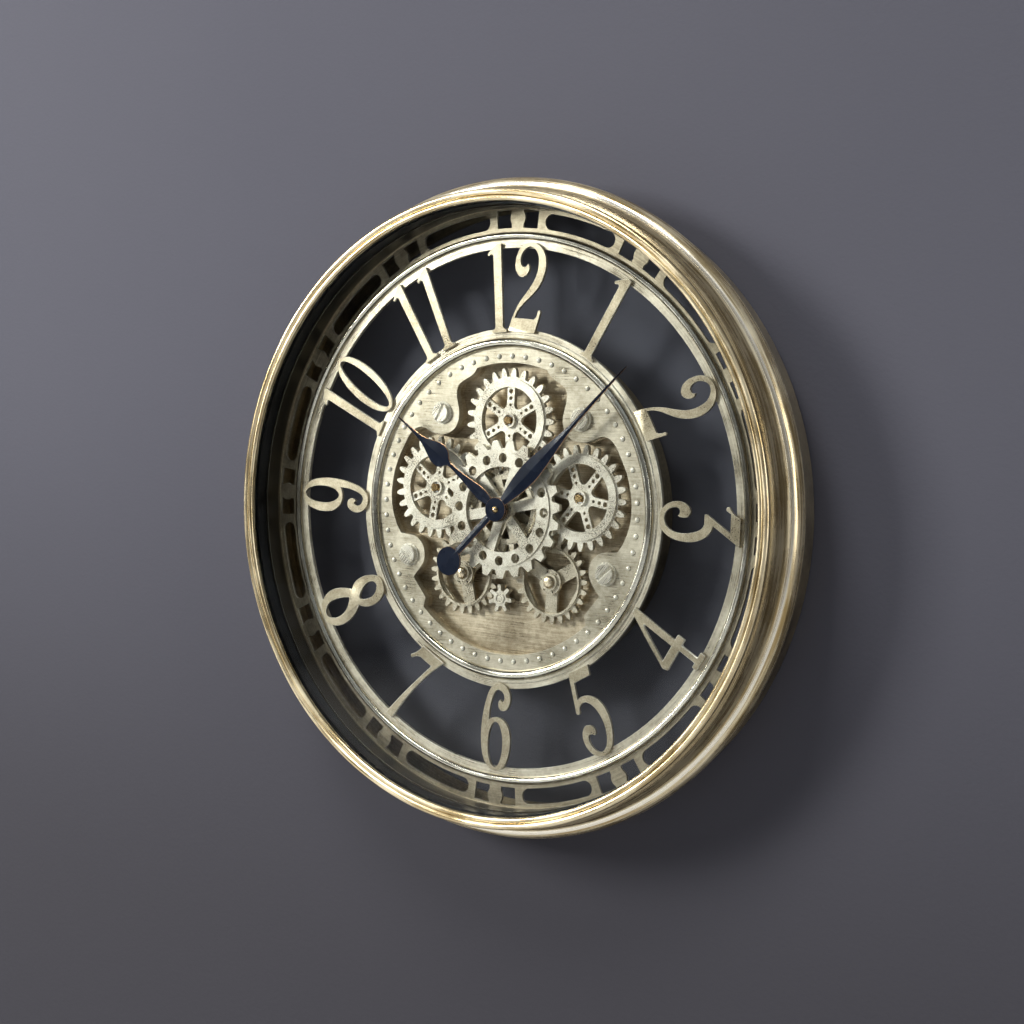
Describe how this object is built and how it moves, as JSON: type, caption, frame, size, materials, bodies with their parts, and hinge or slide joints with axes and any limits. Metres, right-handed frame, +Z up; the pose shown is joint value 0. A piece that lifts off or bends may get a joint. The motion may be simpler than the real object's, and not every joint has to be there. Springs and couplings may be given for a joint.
{
  "type": "skeleton wall clock",
  "caption": "Round skeleton wall clock with a deep metal rim, open numeral ring, glass front and a turning train of spoked gears behind leaf hands.",
  "frame": {"origin": "on the hand axis, in the plane of the wall", "axes": "+Z up to twelve o'clock, +Y into the wall, clock faces -Y"},
  "size_m": [0.5414, 0.0696, 0.5414],
  "materials": {
    "rim_metal": "satin",
    "shell_metal": "satin",
    "clear_glass": "polished",
    "dark_metal": "satin",
    "dial_metal": "brushed",
    "bead_metal": "polished",
    "numeral_metal": "satin",
    "gear_metal": "satin",
    "screw_steel": "brushed",
    "stud_brass": "satin",
    "sleeve_bronze": "satin",
    "hand_metal": "gloss",
    "case_plastic": "matte",
    "switch_plastic": "matte",
    "cell_jacket": "gloss",
    "pad_rubber": "matte",
    "hanger_steel": "satin"
  },
  "bodies": {
    "clock_body": {"rim_front_moulding": "rim_metal", "rim_back_shell": "shell_metal", "glass_lens": "clear_glass", "glass_retaining_ring": "dark_metal", "hour_ring": "dial_metal", "outer_chapter_ring": "dial_metal", "outer_bead_ring": "bead_metal", "inner_chapter_ring": "dial_metal", "inner_bead_ring": "bead_metal", "dial_front_plate": "dial_metal", "dial_spacer_plate": "dial_metal", "dial_back_plate": "dial_metal", "dial_rivets": "bead_metal", "lug_screws": "screw_steel", "lug_washers": "bead_metal", "drum_side_wall": "shell_metal", "drum_rear_cover": "shell_metal", "rear_pillars": "stud_brass", "rear_cover_screws": "screw_steel", "upper_studs": "stud_brass", "stud_clips": "screw_steel", "lower_shoulder_screws": "stud_brass", "movement_bushing": "stud_brass", "bushing_nut": "stud_brass", "movement_case": "case_plastic", "motor_case": "case_plastic", "battery_cells": "cell_jacket", "hanger_bracket": "hanger_steel", "wall_bumpers": "pad_rubber", "numeral_1": "numeral_metal", "numeral_2": "numeral_metal", "numeral_3": "numeral_metal", "numeral_4": "numeral_metal", "numeral_5": "numeral_metal", "numeral_6": "numeral_metal", "numeral_7": "numeral_metal", "numeral_8": "numeral_metal", "numeral_9": "numeral_metal", "numeral_10": "numeral_metal", "numeral_11": "numeral_metal", "numeral_12": "numeral_metal"},
    "centre_train": {"centre_sleeve": "sleeve_bronze", "front_centre_gear": "gear_metal", "rear_centre_gear": "gear_metal", "lower_drive_gear": "dial_metal"},
    "top_wheel": {"top_gear": "gear_metal"},
    "left_wheel": {"left_gear": "gear_metal"},
    "right_wheel": {"right_gear": "gear_metal"},
    "lower_left_wheel": {"lower_left_gear": "dial_metal"},
    "lower_right_wheel": {"lower_right_gear": "dial_metal"},
    "pinion": {"motor_pinion": "gear_metal"},
    "minute_works": {"minute_hand": "hand_metal", "minute_shaft": "stud_brass", "hand_cap": "stud_brass", "set_knob": "case_plastic"},
    "hour_works": {"hour_hand": "hand_metal", "hour_tube": "stud_brass"},
    "switch": {"motor_switch": "switch_plastic"}
  },
  "joints": [
    {"name": "centre_spin", "type": "hinge", "parent": "clock_body", "child": "centre_train", "pos_m": [0, -0.032, 0], "axis": [0, 1, 0], "continuous": true},
    {"name": "top_spin", "type": "hinge", "parent": "clock_body", "child": "top_wheel", "pos_m": [0, -0.032, 0.07303], "axis": [0, 1, 0], "continuous": true},
    {"name": "left_spin", "type": "hinge", "parent": "clock_body", "child": "left_wheel", "pos_m": [-0.07173, -0.032, 0.01368], "axis": [0, 1, 0], "continuous": true},
    {"name": "right_spin", "type": "hinge", "parent": "clock_body", "child": "right_wheel", "pos_m": [0.07173, -0.032, 0.01368], "axis": [0, 1, 0], "continuous": true},
    {"name": "lower_left_spin", "type": "hinge", "parent": "clock_body", "child": "lower_left_wheel", "pos_m": [-0.04385, -0.027, -0.05654], "axis": [0, 1, 0], "continuous": true},
    {"name": "lower_right_spin", "type": "hinge", "parent": "clock_body", "child": "lower_right_wheel", "pos_m": [0.04385, -0.027, -0.05654], "axis": [0, 1, 0], "continuous": true},
    {"name": "pinion_spin", "type": "hinge", "parent": "clock_body", "child": "pinion", "pos_m": [-0.00594, -0.027, -0.07462], "axis": [0, 1, 0], "continuous": true},
    {"name": "minute_spin", "type": "hinge", "parent": "clock_body", "child": "minute_works", "pos_m": [0, -0.048, 0], "axis": [0, 1, 0], "continuous": true},
    {"name": "hour_spin", "type": "hinge", "parent": "clock_body", "child": "hour_works", "pos_m": [0, -0.046, 0], "axis": [0, 1, 0], "continuous": true},
    {"name": "switch_slide", "type": "slide", "parent": "clock_body", "child": "switch", "axis": [-1, 0, 0], "range_m": [0, 0.0058]}
  ],
  "couplings": [
    {"joint": "top_spin", "follows": "centre_spin", "ratio": -0.84},
    {"joint": "left_spin", "follows": "centre_spin", "ratio": -0.84},
    {"joint": "right_spin", "follows": "centre_spin", "ratio": -0.84},
    {"joint": "lower_left_spin", "follows": "centre_spin", "ratio": -1.25},
    {"joint": "lower_right_spin", "follows": "centre_spin", "ratio": -1.25},
    {"joint": "pinion_spin", "follows": "centre_spin", "ratio": 4.2857},
    {"joint": "hour_spin", "follows": "minute_spin", "ratio": 0.083333}
  ]
}
